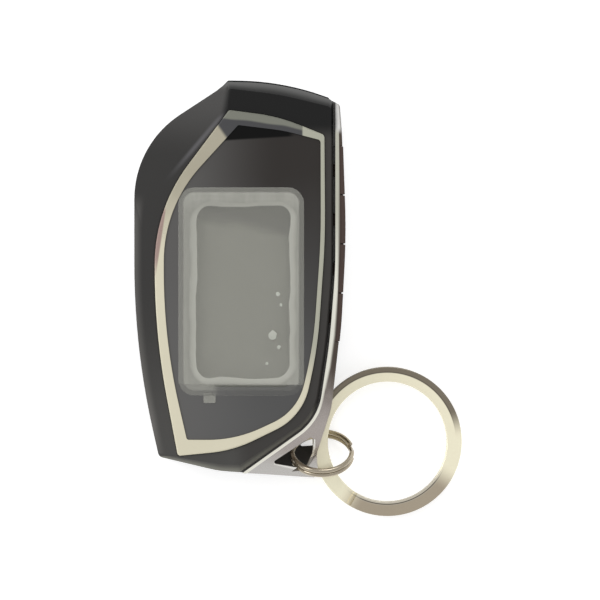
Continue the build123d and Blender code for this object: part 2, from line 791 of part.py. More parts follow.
key_ring_lean = radians(key_ring_tilt)
key_ring_z = key_ring_outer * sin(key_ring_lean) + (key_ring_coil + coil_gap / 2) * cos(key_ring_lean)
key_ring_frame = Plane(
    origin=(key_ring_x, key_ring_y, key_ring_z), x_dir=(cos(key_ring_lean), 0, -sin(key_ring_lean)),
    z_dir=(sin(key_ring_lean), 0, cos(key_ring_lean)))
with BuildPart() as key_ring:
    two_turns(key_ring_frame, (key_ring_outer + key_ring_inner) / 2, key_ring_outer - key_ring_inner,
              key_ring_coil, key_ring_start, key_ring_step)
save(key_ring, "key_ring")
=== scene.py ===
# Looks of a two-way car alarm remote that lies on its back with its rings
import json
from math import cos, radians, sin

import bpy
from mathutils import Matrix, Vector


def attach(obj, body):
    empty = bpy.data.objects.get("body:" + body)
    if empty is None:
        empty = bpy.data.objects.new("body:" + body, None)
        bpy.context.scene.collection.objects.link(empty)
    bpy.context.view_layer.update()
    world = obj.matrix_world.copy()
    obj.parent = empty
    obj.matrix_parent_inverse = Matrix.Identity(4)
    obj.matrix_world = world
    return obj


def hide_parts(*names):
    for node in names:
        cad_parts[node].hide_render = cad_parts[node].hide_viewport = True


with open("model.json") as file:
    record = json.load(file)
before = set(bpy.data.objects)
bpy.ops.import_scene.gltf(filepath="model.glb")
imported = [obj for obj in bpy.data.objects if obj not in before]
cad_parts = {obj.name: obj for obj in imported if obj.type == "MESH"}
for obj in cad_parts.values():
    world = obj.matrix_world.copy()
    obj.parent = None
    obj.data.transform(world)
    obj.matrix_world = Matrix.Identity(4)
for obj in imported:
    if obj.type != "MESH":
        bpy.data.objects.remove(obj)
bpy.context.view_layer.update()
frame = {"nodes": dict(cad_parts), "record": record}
nodes = frame["nodes"]
print("stage: frame loaded")

# What a user would change is in one dictionary for each piece, beside the code that uses it.
# Lengths there are in millimetres, and a pair of values is where a shade starts and where it is full
millimetre = 0.001


def tone(red, green, blue):  # a colour on the 0 to 255 scale, turned by the sRGB curve
    shares = []
    for level in (red, green, blue):
        share = level / 255
        shares.append(share / 12.92 if share <= 0.04045 else ((share + 0.055) / 1.055) ** 2.4)
    return (*shares, 1.0)


# Small helpers for material nodes
def addNode(tree, kind, **settings):
    node = tree.nodes.new(kind)
    for key, value in settings.items():
        setattr(node, key, value)
    return node


def connect(tree, source, target):
    tree.links.new(source, target)


def feed(tree, source, target):  # the source is a fixed value or another node's output
    if isinstance(source, (tuple, int, float)):
        target.default_value = source
    else:
        connect(tree, source, target)


def calc(tree, operation, *values):
    node = addNode(tree, "ShaderNodeMath", operation=operation)
    for socket, value in zip(node.inputs, values):
        feed(tree, value, socket)
    return node.outputs[0]


def combine(tree, operation, first, *others):
    for other in others:
        first = calc(tree, operation, first, other)
    return first


def vectorCalc(tree, operation, *values):
    node = addNode(tree, "ShaderNodeVectorMath", operation=operation)
    for socket, value in zip(node.inputs, values):
        feed(tree, value, socket)
    return node.outputs["Value"] if operation == "LENGTH" else node.outputs[0]


def scaleVector(tree, vector, factor):
    node = addNode(tree, "ShaderNodeVectorMath", operation="SCALE")
    connect(tree, vector, node.inputs[0])
    feed(tree, factor, node.inputs["Scale"])
    return node.outputs[0]


def flatten(tree, vector):  # drops the height
    return vectorCalc(tree, "MULTIPLY", vector, (1.0, 1.0, 0.0))


def splitVector(tree, vector):
    node = addNode(tree, "ShaderNodeSeparateXYZ")
    connect(tree, vector, node.inputs[0])
    return node.outputs


def mixColors(tree, share, low, high):
    node = addNode(tree, "ShaderNodeMix", data_type="RGBA")
    for index, value in ((0, share), (6, low), (7, high)):
        feed(tree, value, node.inputs[index])
    return node.outputs[2]


def mixLevels(tree, share, low, high):
    node = addNode(tree, "ShaderNodeMix", data_type="FLOAT")
    for index, value in ((0, share), (2, low), (3, high)):
        feed(tree, value, node.inputs[index])
    return node.outputs[0]


def ramp(tree, value, low, high, fromLevel=0.0, toLevel=1.0):
    node = addNode(tree, "ShaderNodeMapRange", interpolation_type="SMOOTHSTEP")
    for socket, level in zip(node.inputs, (value, low, high, fromLevel, toLevel)):
        feed(tree, level, socket)
    return node.outputs[0]


def band(tree, value, rise, fall):  # a share that rises over one span and falls over another
    return calc(tree, "MULTIPLY", ramp(tree, value, *rise), ramp(tree, value, *fall))


def sway(tree, place, scale, reach, detail=2.0):  # noise round zero, as wide as the reach
    node = addNode(tree, "ShaderNodeTexNoise")
    connect(tree, place, node.inputs["Vector"])
    feed(tree, scale, node.inputs["Scale"])
    node.inputs["Detail"].default_value = detail
    return calc(tree, "MULTIPLY_ADD", node.outputs[0], reach, -reach / 2)


# A place on the object in millimetres
def objectPlace(tree):
    place = addNode(tree, "ShaderNodeTexCoord").outputs["Object"]
    return scaleVector(tree, place, 1 / millimetre)


# How far a place lies on one side of a line through two points, in millimetres
def sideOfLine(tree, parts, start, end):
    run = Vector((end[0] - start[0], end[1] - start[1]))
    run.normalize()
    across = calc(tree, "MULTIPLY", calc(tree, "SUBTRACT", parts[0], start[0]), run.y)
    along = calc(tree, "MULTIPLY", calc(tree, "SUBTRACT", parts[1], start[1]), run.x)
    return calc(tree, "SUBTRACT", across, along)


# How far a place lies from a run between two points, in millimetres
def awayFromRun(tree, parts, start, end):
    run = (end[0] - start[0], end[1] - start[1])
    away = [calc(tree, "SUBTRACT", parts[axis], start[axis]) for axis in (0, 1)]
    ahead = calc(tree, "MULTIPLY_ADD", away[0], run[0], calc(tree, "MULTIPLY", away[1], run[1]))
    share = calc(tree, "DIVIDE", ahead, run[0] ** 2 + run[1] ** 2)
    share = calc(tree, "MINIMUM", calc(tree, "MAXIMUM", share, 0.0), 1.0)
    squares = []
    for axis in (0, 1):
        across = calc(tree, "SUBTRACT", away[axis], calc(tree, "MULTIPLY", share, run[axis]))
        squares.append(calc(tree, "MULTIPLY", across, across))
    return calc(tree, "SQRT", calc(tree, "ADD", *squares))


def newGroup(name, inputs, outputs):
    tree = bpy.data.node_groups.new(name, "ShaderNodeTree")
    for label, kind, value in inputs:
        socket = tree.interface.new_socket(name=label, in_out="INPUT", socket_type=kind)
        socket.default_value = value
    for label, kind in outputs:
        tree.interface.new_socket(name=label, in_out="OUTPUT", socket_type=kind)
    return tree, addNode(tree, "NodeGroupInput"), addNode(tree, "NodeGroupOutput")


def useGroup(tree, group, **values):
    node = addNode(tree, "ShaderNodeGroup", node_tree=group)
    for label, value in values.items():
        feed(tree, value, node.inputs[label])
    return node


# Shared effect: grain. Fine bump, uneven roughness and a slow change of shade. The noise scales
# are per metre
grainLook = {"broadScale": 60.0, "broadDetail": 3.0, "fineShare": 0.5, "bumpHeight": 0.05}


def makeGrainGroup():
    tree, entry, leave = newGroup(
        "surfaceGrain",
        [("Color", "NodeSocketColor", (0.5, 0.5, 0.5, 1)), ("Shade", "NodeSocketFloat", 0.1),
         ("Roughness", "NodeSocketFloat", 0.5), ("Spread", "NodeSocketFloat", 0.1),
         ("Scale", "NodeSocketFloat", 4000.0), ("Depth", "NodeSocketFloat", 0.1)],
        [("Color", "NodeSocketColor"), ("Roughness", "NodeSocketFloat"),
         ("Normal", "NodeSocketVector")])
    place = addNode(tree, "ShaderNodeTexCoord").outputs["Object"]
    broad = sway(tree, place, grainLook["broadScale"], 1.0, grainLook["broadDetail"])
    fine = sway(tree, place, entry.outputs["Scale"], 1.0)
    both = calc(tree, "MULTIPLY_ADD", fine, grainLook["fineShare"], broad)
    level = calc(tree, "MULTIPLY_ADD", both, entry.outputs["Shade"], 1.0)
    connect(tree, scaleVector(tree, entry.outputs["Color"], level), leave.inputs["Color"])
    rough = calc(tree, "MULTIPLY_ADD", both, entry.outputs["Spread"], entry.outputs["Roughness"])
    connect(tree, rough, leave.inputs["Roughness"])
    bump = addNode(tree, "ShaderNodeBump")
    bump.inputs["Distance"].default_value = grainLook["bumpHeight"] * millimetre
    connect(tree, entry.outputs["Depth"], bump.inputs["Strength"])
    connect(tree, fine, bump.inputs["Height"])
    connect(tree, bump.outputs[0], leave.inputs["Normal"])
    return tree


# Shared effect: how far a point is inside a rounded rectangle, in millimetres, less outside it.
# The wobble makes its edge wavy
panelLook = {"wobbleScale": 0.16, "wobbleDetail": 1.0}


def makePanelGroup():
    tree, entry, leave = newGroup(
        "panelDepth",
        [("Centre", "NodeSocketVector", (0, 0, 0)), ("Half", "NodeSocketVector", (1, 1, 0)),
         ("Radius", "NodeSocketFloat", 1.0), ("Wobble", "NodeSocketFloat", 0.0)],
        [("Depth", "NodeSocketFloat")])
    place = objectPlace(tree)
    noise = sway(tree, place, panelLook["wobbleScale"], 1.0, panelLook["wobbleDetail"])
    flat = flatten(tree, vectorCalc(tree, "SUBTRACT", place, entry.outputs["Centre"]))
    beyond = vectorCalc(tree, "SUBTRACT", vectorCalc(tree, "ABSOLUTE", flat), entry.outputs["Half"])
    corner = addNode(tree, "ShaderNodeCombineXYZ")
    connect(tree, entry.outputs["Radius"], corner.inputs[0])
    connect(tree, entry.outputs["Radius"], corner.inputs[1])
    grown = vectorCalc(tree, "ADD", beyond, corner.outputs[0])
    outside = vectorCalc(tree, "LENGTH", vectorCalc(tree, "MAXIMUM", grown, (0.0, 0.0, 0.0)))
    parts = splitVector(tree, grown)
    inside = calc(tree, "MINIMUM", calc(tree, "MAXIMUM", parts[0], parts[1]), 0.0)
    reach = calc(tree, "SUBTRACT", calc(tree, "ADD", outside, inside), entry.outputs["Radius"])
    wave = calc(tree, "MULTIPLY", noise, entry.outputs["Wobble"])
    connect(tree, calc(tree, "SUBTRACT", wave, reach), leave.inputs["Depth"])
    return tree


# Shared effect: the share of a face that points out of the front, and which way it leans
def makeSideGroup():
    tree, entry, leave = newGroup(
        "facingSplit",
        [("Low", "NodeSocketFloat", 0.4), ("High", "NodeSocketFloat", 0.7)],
        [("Up", "NodeSocketFloat"), ("LeanX", "NodeSocketFloat"), ("LeanY", "NodeSocketFloat")])
    parts = splitVector(tree, addNode(tree, "ShaderNodeTexCoord").outputs["Normal"])
    up = ramp(tree, parts[2], entry.outputs["Low"], entry.outputs["High"])
    connect(tree, up, leave.inputs["Up"])
    connect(tree, parts[0], leave.inputs["LeanX"])
    connect(tree, parts[1], leave.inputs["LeanY"])
    return tree


grainGroup = makeGrainGroup()
panelGroup = makePanelGroup()
sideGroup = makeSideGroup()


def newMaterial(name):
    material = bpy.data.materials.new(name)
    material.use_nodes = True
    tree = material.node_tree
    return material, tree, tree.nodes["Principled BSDF"]


# Puts grain over a colour and sends it to the shader
def grainInto(tree, shader, color, shade=0.1, roughness=0.3, spread=0.1, scale=3000.0, depth=0.05):
    grain = useGroup(tree, grainGroup, Color=color, Shade=shade, Roughness=roughness, Spread=spread,
                     Scale=scale, Depth=depth)
    connect(tree, grain.outputs["Color"], shader.inputs["Base Color"])
    connect(tree, grain.outputs["Roughness"], shader.inputs["Roughness"])
    connect(tree, grain.outputs["Normal"], shader.inputs["Normal"])


# A finish is a base colour with grain, set on one Principled shader
def makeFinish(name, color, roughness, metallic=0.0, shade=0.12, spread=0.12, scale=4000.0, depth=0.1,
               coat=0.0, coatRoughness=0.08, specular=0.5, alpha=1.0):
    material, tree, shader = newMaterial(name)
    grainInto(tree, shader, color, shade, roughness, spread, scale, depth)
    shader.inputs["Metallic"].default_value = metallic
    shader.inputs["Coat Weight"].default_value = coat
    shader.inputs["Coat Roughness"].default_value = coatRoughness
    shader.inputs["Specular IOR Level"].default_value = specular
    shader.inputs["Alpha"].default_value = alpha
    return material


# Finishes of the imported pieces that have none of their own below, by the record's slots
finishes = {
    "film": {"color": tone(165, 167, 156), "roughness": 0.25, "depth": 0.05},
    "display_glass": {"color": tone(150, 152, 140), "roughness": 0.2, "depth": 0.0},
    "white_plastic": {"color": tone(225, 225, 220), "roughness": 0.5},
    "rubber": {"color": tone(45, 45, 46), "roughness": 0.8},
    "board": {"color": tone(22, 84, 52), "roughness": 0.35, "coat": 0.4},
    "chip": {"color": tone(34, 34, 36), "roughness": 0.6},
    "steel": {"color": tone(190, 190, 188), "roughness": 0.3, "metallic": 1.0},
    "brass": {"color": tone(205, 160, 96), "roughness": 0.3, "metallic": 1.0},
    "battery_wrap": {"color": tone(62, 66, 72), "roughness": 0.3, "coat": 0.5},
    # Buttons: dark gloss with its brown reflection painted into the colour and no specular of its own
    "button": {"color": tone(90, 77, 72), "roughness": 0.35, "depth": 0.02, "spread": 0.04,
               "specular": 0.0},
    "ring_steel": {"color": tone(176, 166, 148), "roughness": 0.2, "metallic": 1.0, "depth": 0.05,
                   "scale": 2500.0},
}


def dress(node, material):
    piece = nodes[node]
    if not piece.material_slots:
        piece.data.materials.append(None)
    for place in piece.material_slots:
        place.link = "OBJECT"
        place.material = material


slotOf = {entry["node"]: entry["material_slot"] for entry in frame["record"]["subparts"]}
materials = {name: makeFinish(name, **look) for name, look in finishes.items()}
for nodeName in nodes:
    if slotOf[nodeName] in materials:
        dress(nodeName, materials[slotOf[nodeName]])

# Case: soft-touch black, with painted shade above the bezel and painted highlights at the crest of the
# wing, along the bevel beside the bezel, down the sloping top and low edges and along the rounded left
# edge
caseLook = {
    "wingColor": tone(48, 47, 46), "wingLowColor": tone(70, 69, 67), "wingY": (0.0, -35.0),
    "crestHighlightColor": tone(72, 71, 70), "crestY": (24.0, 37.0),
    "stripColor": tone(58, 56, 54), "stripX": (-2.0, 2.0),
    "panelShadeColor": tone(17, 17, 17), "panelLine": ((-2.4, 38.7), (-3.4, 33.5)), "panelFade": (0.8, -0.8),
    "panelY": (27.5, 31.0),
    "bevelHighlightColor": tone(86, 85, 87), "bevelLine": ((-3.8, 32.6), (-13.6, 21.0)),
    "bevelFade": (0.75, 0.0), "bevelLowY": (19.0, 27.0), "bevelHighY": (33.5, 31.5),
    "topEdgeHighlightColor": tone(98, 98, 97), "topLean": (0.25, 0.5),
    "lowEdgeHighlightColor": tone(132, 131, 122), "lowLean": (-0.25, -0.5),
    "slopeZ": (16.9, 15.5), "slopeShare": (0.15, 1.0),
    "leftEdgeHighlightColor": tone(148, 145, 141), "leftLean": (-0.05, -0.15),
    "leftEdgeY": (17.5, 11.0), "leftEdgeZ": (16.15, 15.4),
    "flatUp": {"Low": 0.9, "High": 0.985}, "slopedUp": {"Low": 0.1, "High": 0.3},
    "grain": {"shade": 0.25, "roughness": 0.6, "scale": 5200.0, "depth": 0.5}, "specular": 0.22,
}


def makeCase():
    look = caseLook
    material, tree, shader = newMaterial("softTouchBlack")
    parts = splitVector(tree, objectPlace(tree))
    wing = mixColors(tree, ramp(tree, parts[1], *look["wingY"]), look["wingColor"],
                     look["wingLowColor"])
    # Painted highlight towards the crest of the wing
    wing = mixColors(tree, ramp(tree, parts[1], *look["crestY"]), wing, look["crestHighlightColor"])
    body = mixColors(tree, ramp(tree, parts[0], *look["stripX"]), wing, look["stripColor"])
    # Painted shade on the panel above the bezel
    panelShade = calc(tree, "MULTIPLY",
                 ramp(tree, sideOfLine(tree, parts, *look["panelLine"]), *look["panelFade"]),
                 ramp(tree, parts[1], *look["panelY"]))
    front = mixColors(tree, panelShade, body, look["panelShadeColor"])
    # Painted highlight along the bevel beside the bezel
    away = calc(tree, "ABSOLUTE", sideOfLine(tree, parts, *look["bevelLine"]))
    bevel = calc(tree, "MULTIPLY", ramp(tree, away, *look["bevelFade"]),
                 band(tree, parts[1], look["bevelLowY"], look["bevelHighY"]))
    front = mixColors(tree, bevel, front, look["bevelHighlightColor"])
    face = useGroup(tree, sideGroup, **look["flatUp"])
    sloped = useGroup(tree, sideGroup, **look["slopedUp"])
    # Painted highlights down the sloping top and low edges, chosen by which way the faces lean
    down = calc(tree, "MULTIPLY", sloped.outputs["Up"],
                ramp(tree, parts[2], *look["slopeZ"], *look["slopeShare"]))
    topHighlight = calc(tree, "MULTIPLY", down, ramp(tree, face.outputs["LeanY"], *look["topLean"]))
    lowHighlight = calc(tree, "MULTIPLY", down, ramp(tree, face.outputs["LeanY"], *look["lowLean"]))
    sloping = mixColors(tree, lowHighlight, front, look["lowEdgeHighlightColor"])
    sloping = mixColors(tree, topHighlight, sloping, look["topEdgeHighlightColor"])
    # Painted highlight along the rounded left edge
    leftHighlight = combine(tree, "MULTIPLY", ramp(tree, face.outputs["LeanX"], *look["leftLean"]),
                       ramp(tree, parts[1], *look["leftEdgeY"]),
                       ramp(tree, parts[2], *look["leftEdgeZ"]))
    front = mixColors(tree, leftHighlight, front, look["leftEdgeHighlightColor"])
    grainInto(tree, shader, mixColors(tree, face.outputs["Up"], sloping, front), **look["grain"])
    shader.inputs["Specular IOR Level"].default_value = look["specular"]
    return material


softTouch = makeCase()
for nodeName in ("front_housing", "rear_cover", "battery_door"):
    dress(nodeName, softTouch)

# Lens: smoked plastic with a painted reflection that is browner at the top and greyer at the bottom and
# left, a darker painted reflection in a wedge under the top of the bezel, and a clear window over the
# display
lensLook = {
    "topColor": tone(50, 47, 45), "bottomColor": tone(85, 85, 85), "reflectionY": (-30.0, 26.0),
    "cloudScale": 0.05, "cloudReach": 0.3,
    "leftReflectionColor": tone(100, 99, 98), "leftX": (8.0, -14.0), "leftShare": (0.0, 0.7),
    "wedgeReflectionColor": tone(9, 9, 9), "wedgeLine": ((-3.6, 27.6), (11.0, 28.5)), "wedgeFade": (0.25, -0.25),
    "wedgeX": (11.3, 9.3),
    "windowCentre": (0.6, -3.1, 0.0), "windowHalf": (9.6, 18.3, 0.0), "windowRadius": 1.8,
    "windowFade": (-0.05, 0.05), "windowAlpha": (1.0, 0.12),
    "roughness": 0.05, "specular": 0.12,
}


def makeLens():
    look = lensLook
    material, tree, shader = newMaterial("smokedLens")
    place = objectPlace(tree)
    parts = splitVector(tree, place)
    # Painted reflection: browner at the top, greyer at the bottom and paler at the left
    level = calc(tree, "ADD", ramp(tree, parts[1], *look["reflectionY"]),
                 sway(tree, place, look["cloudScale"], look["cloudReach"]))
    lensReflection = mixColors(tree, level, look["bottomColor"], look["topColor"])
    left = ramp(tree, parts[0], *look["leftX"], *look["leftShare"])
    lensReflection = mixColors(tree, left, lensReflection, look["leftReflectionColor"])
    # Painted dark reflection in a wedge under the top of the bezel
    reflectedWedge = calc(tree, "MULTIPLY",
                 ramp(tree, sideOfLine(tree, parts, *look["wedgeLine"]), *look["wedgeFade"]),
                 ramp(tree, parts[0], *look["wedgeX"]))
    window = useGroup(tree, panelGroup, Centre=look["windowCentre"], Half=look["windowHalf"],
                      Radius=look["windowRadius"])
    clear = ramp(tree, window.outputs["Depth"], *look["windowFade"], *look["windowAlpha"])
    connect(tree, mixColors(tree, reflectedWedge, lensReflection, look["wedgeReflectionColor"]), shader.inputs["Base Color"])
    connect(tree, clear, shader.inputs["Alpha"])
    shader.inputs["Roughness"].default_value = look["roughness"]
    shader.inputs["Specular IOR Level"].default_value = look["specular"]
    return material


dress("lens_window", makeLens())

# Display under the lens: grey glass that darkens towards its top
displayLook = {
    "color": tone(170, 170, 157), "topColor": tone(82, 82, 77), "darkY": (9.0, 13.0), "darkTilt": 0.2,
    "cloudScale": 0.12, "cloudReach": 4.0, "roughness": 0.35,
}


def makeDisplay():
    look = displayLook
    material, tree, shader = newMaterial("displayGlass")
    place = objectPlace(tree)
    parts = splitVector(tree, place)
    tilted = calc(tree, "MULTIPLY_ADD", parts[0], look["darkTilt"], parts[1])
    height = calc(tree, "ADD", tilted, sway(tree, place, look["cloudScale"], look["cloudReach"]))
    dark = ramp(tree, height, *look["darkY"])
    connect(tree, mixColors(tree, dark, look["color"], look["topColor"]), shader.inputs["Base Color"])
    shader.inputs["Roughness"].default_value = look["roughness"]
    return material


dress("lcd_front_glass", makeDisplay())

# Bezel: pale champagne paint, greyer down its right leg, with a reddish painted reflection on a part of
# its left edge, and a two-tone grey painted sheen across its top
bezelLook = {
    "color": tone(224, 218, 194), "highColor": tone(176, 170, 151), "highY": (4.0, 22.0),
    "highSway": 10.0,
    "rightColor": tone(178, 178, 162), "rightX": (2.0, 12.0), "rightY": (-24.0, -12.0),
    "pinkReflectionColor": tone(168, 144, 136), "pinkReflectionLine": ((-16.3, 4.6), (-14.85, 14.2)),
    "pinkReflectionFade": (0.15, -0.15), "pinkReflectionLowY": (-1.5, 5.0), "pinkReflectionHighY": (14.8, 13.2),
    "sheenColor": tone(126, 127, 117), "sheenLine": ((-4.6, 30.7), (-2.2, 27.3)),
    "sheenFade": (0.4, -0.4), "sheenX": (12.5, 12.1), "sheenY": (22.0, 24.0),
    "darkSheenColor": tone(72, 72, 74), "darkLine": ((-0.2, 31.6), (11.8, 29.8)),
    "darkFade": (-0.2, 0.3),
    "streakScale": 0.14, "streakReach": 1.2, "streakDetail": 1.0,
    "grain": {"roughness": 0.3, "scale": 6000.0, "depth": 0.04}, "metallic": 0.45,
}


def makeBezel():
    look = bezelLook
    material, tree, shader = newMaterial("champagnePaint")
    place = objectPlace(tree)
    parts = splitVector(tree, place)
    lift = sway(tree, place, look["streakScale"], look["streakReach"], look["streakDetail"])
    high = ramp(tree, calc(tree, "MULTIPLY_ADD", lift, look["highSway"], parts[1]), *look["highY"])
    paint = mixColors(tree, high, look["color"], look["highColor"])
    right = calc(tree, "MULTIPLY", ramp(tree, parts[0], *look["rightX"]),
                 ramp(tree, parts[1], *look["rightY"]))
    paint = mixColors(tree, right, paint, look["rightColor"])
    # Painted reddish reflection on a part of the left edge
    pinkReflection = calc(tree, "MULTIPLY", band(tree, parts[1], look["pinkReflectionLowY"], look["pinkReflectionHighY"]),
                 ramp(tree, sideOfLine(tree, parts, *look["pinkReflectionLine"]), *look["pinkReflectionFade"]))
    paint = mixColors(tree, pinkReflection, paint, look["pinkReflectionColor"])
    # Painted two-tone grey sheen, a reflection across the top
    zone = combine(tree, "MULTIPLY",
                   ramp(tree, sideOfLine(tree, parts, *look["sheenLine"]), *look["sheenFade"]),
                   ramp(tree, parts[0], *look["sheenX"]), ramp(tree, parts[1], *look["sheenY"]))
    under = calc(tree, "ADD", sideOfLine(tree, parts, *look["darkLine"]), lift)
    sheen = mixColors(tree, ramp(tree, under, *look["darkFade"]), look["sheenColor"],
                      look["darkSheenColor"])
    grainInto(tree, shader, mixColors(tree, zone, paint, sheen), **look["grain"])
    shader.inputs["Metallic"].default_value = look["metallic"]
    return material


dress("bezel_frame", makeBezel())

# Trim: plated plastic with its reflections painted into its colour: a pale painted highlight on the
# land along the case, and past the land's outer edge a dark brown painted reflection on the side that
# turns into a dull mauve one on the web and a pale one at the tip at the lug, a painted highlight round
# the bevel of the eyelet and a painted reflection at the top end, bright on its outer side
trimLook = {
    "landHighlightColor": tone(250, 248, 235), "highLandHighlightColor": tone(206, 205, 190), "highLandY": (0.0, 16.0),
    "landEdge": [(16.46, -23.1), (17.72, -17.5), (18.6, -11.1), (19.32, -2.1), (19.58, 17.9)],
    "landFade": (0.35, -0.25),
    "sideReflectionColor": tone(92, 83, 76), "webReflectionColor": tone(188, 180, 175), "webY": (-16.5, -30.0),
    "tipReflectionColor": tone(214, 211, 207), "tipY": (-33.0, -38.5),
    "gapShadeColor": tone(120, 118, 116), "gapZ": (14.5, 13.5),
    "rimReflectionColor": tone(252, 250, 244), "rimFade": (0.3, 0.1),
    "rimRun": [(14.65, -32.1), (14.65, -33.6), (14.4, -35.0), (13.4, -37.4), (10.5, -37.75),
               (6.8, -36.8)],
    "endInReflectionColor": tone(90, 90, 90), "endOutReflectionColor": tone(244, 243, 239), "endX": (18.4, 19.6),
    "endY": (28.8, 30.4), "endZ": (8.0, 15.0), "endSway": 0.2,
    "cloudScale": 0.5, "cloudReach": 3.0,
    "flatUp": {"Low": 0.88, "High": 0.97}, "platedUp": {"Low": 0.35, "High": 0.75},
    "grain": {"shade": 0.08, "roughness": 0.22, "depth": 0.03}, "metallic": 0.85, "specular": 0.0,
}


# The painted reflections on the trim's brown side, web and tip, one after another towards the low end
def trimReflections(tree, level):
    look = trimLook
    body = mixColors(tree, ramp(tree, level, *look["webY"]), look["sideReflectionColor"], look["webReflectionColor"])
    return mixColors(tree, ramp(tree, level, *look["tipY"]), body, look["tipReflectionColor"])


# The pale painted highlight on the land along the case, and the share of the land that lies low, in the
# gap beside the case
def trimLand(tree, parts, body):
    look = trimLook
    flat = useGroup(tree, sideGroup, **look["flatUp"])
    runs = zip(look["landEdge"], look["landEdge"][1:])
    sides = [sideOfLine(tree, parts, start, end) for start, end in runs]
    within = combine(tree, "MINIMUM", *(ramp(tree, side, *look["landFade"]) for side in sides))
    onLand = calc(tree, "MULTIPLY", flat.outputs["Up"], within)
    # Painted highlight on the land, dimmer towards the top
    bright = mixColors(tree, ramp(tree, parts[1], *look["highLandY"]), look["landHighlightColor"],
                       look["highLandHighlightColor"])
    color = mixColors(tree, onLand, body, bright)
    return color, calc(tree, "MULTIPLY", onLand, ramp(tree, parts[2], *look["gapZ"]))


def makeTrim():
    look = trimLook
    material, tree, shader = newMaterial("trimPlating")
    place = objectPlace(tree)
    parts = splitVector(tree, place)
    drift = sway(tree, place, look["cloudScale"], look["cloudReach"])
    body = trimReflections(tree, calc(tree, "ADD", parts[1], drift))
    color, gap = trimLand(tree, parts, body)
    # Painted highlight along the bevel round the eyelet
    runs = zip(look["rimRun"], look["rimRun"][1:])
    nearest = combine(tree, "MINIMUM", *(awayFromRun(tree, parts, start, end) for start, end in runs))
    color = mixColors(tree, ramp(tree, nearest, *look["rimFade"]), color, look["rimReflectionColor"])
    # Painted shade on the low land in the gap beside the case
    color = mixColors(tree, gap, color, look["gapShadeColor"])
    # Painted reflection at the top end, dark on its inner side and bright on its outer side
    across = calc(tree, "MULTIPLY_ADD", drift, look["endSway"], parts[0])
    end = mixColors(tree, ramp(tree, across, *look["endX"]), look["endInReflectionColor"], look["endOutReflectionColor"])
    ending = calc(tree, "MULTIPLY", ramp(tree, parts[2], *look["endZ"]),
                  ramp(tree, parts[1], *look["endY"]))
    grainInto(tree, shader, mixColors(tree, ending, color, end), **look["grain"])
    plated = useGroup(tree, sideGroup, **look["platedUp"])
    connect(tree, calc(tree, "MULTIPLY", plated.outputs["Up"], look["metallic"]),
            shader.inputs["Metallic"])
    shader.inputs["Specular IOR Level"].default_value = look["specular"]
    return material


dress("side_trim", makeTrim())

# Key ring: nickel with its reflections painted into its colour, a cream one, a grey one on the rim past
# a dark painted shade line on its far side, and a grey-brown one with a pale painted highlight on its
# inner edge from the step in its coils round to its right side.
# Lines and edges are spans of the radius, and sectors run between two angles in degrees
ringLook = {
    "centre": (29.3, -32.5, 0.0), "creamReflectionColor": tone(255, 248, 220), "lineShadeColor": tone(84, 77, 66),
    "rimReflectionColor": tone(128, 119, 104), "rimFade": (13.85, 14.0),
    "rimLineIn": (13.7, 13.9), "rimLineOut": (14.1, 13.9),
    "rimSector": (14.0, 150.0), "rimSoftness": 3.0,
    "brownReflectionColor": tone(175, 163, 143), "brownSector": (238.0, 328.0), "brownSoftness": 2.5,
    "innerHighlightColor": tone(204, 197, 181), "innerFade": (12.9, 12.7),
    "seamIn": (12.45, 12.6), "seamOut": (12.8, 12.65),
    "grain": {"shade": 0.15, "roughness": 0.22, "spread": 0.15, "scale": 2500.0}, "metallic": 0.55,
}


# A sector round the ring's centre, as a share that is soft at its two ends
def ringSector(tree, away, first, last, softness):
    shares = []
    for angle, turn in ((first, 1.0), (last, -1.0)):
        level = calc(tree, "SUBTRACT", calc(tree, "MULTIPLY", away[1], turn * cos(radians(angle))),
                     calc(tree, "MULTIPLY", away[0], turn * sin(radians(angle))))
        shares.append(ramp(tree, level, -softness, softness))
    return calc(tree, "MULTIPLY", *shares)


def makeKeyRing():
    look = ringLook
    material, tree, shader = newMaterial("keyRingNickel")
    away = vectorCalc(tree, "SUBTRACT", objectPlace(tree), look["centre"])
    radius = vectorCalc(tree, "LENGTH", flatten(tree, away))
    away = splitVector(tree, away)
    # Painted grey reflection on the rim, with a dark painted shade line on its far side
    rimmed = mixColors(tree, ramp(tree, radius, *look["rimFade"]), look["creamReflectionColor"], look["rimReflectionColor"])
    rimmed = mixColors(tree, band(tree, radius, look["rimLineIn"], look["rimLineOut"]), rimmed,
                       look["lineShadeColor"])
    # Painted grey-brown reflection, with a pale painted highlight on its inner edge and a dark painted
    # shade line at the seam of the coils
    brownReflection = mixColors(tree, ramp(tree, radius, *look["innerFade"]), look["brownReflectionColor"],
                      look["innerHighlightColor"])
    brownReflection = mixColors(tree, band(tree, radius, look["seamIn"], look["seamOut"]), brownReflection,
                      look["lineShadeColor"])
    # The cream is a painted warm reflection, and the sectors place the other painted reflections
    color = mixColors(tree, ringSector(tree, away, *look["rimSector"], look["rimSoftness"]),
                      look["creamReflectionColor"], rimmed)
    color = mixColors(tree, ringSector(tree, away, *look["brownSector"], look["brownSoftness"]),
                      color, brownReflection)
    grainInto(tree, shader, color, **look["grain"])
    shader.inputs["Metallic"].default_value = look["metallic"]
    return material


dress("key_ring", makeKeyRing())
print("stage: finishes set")

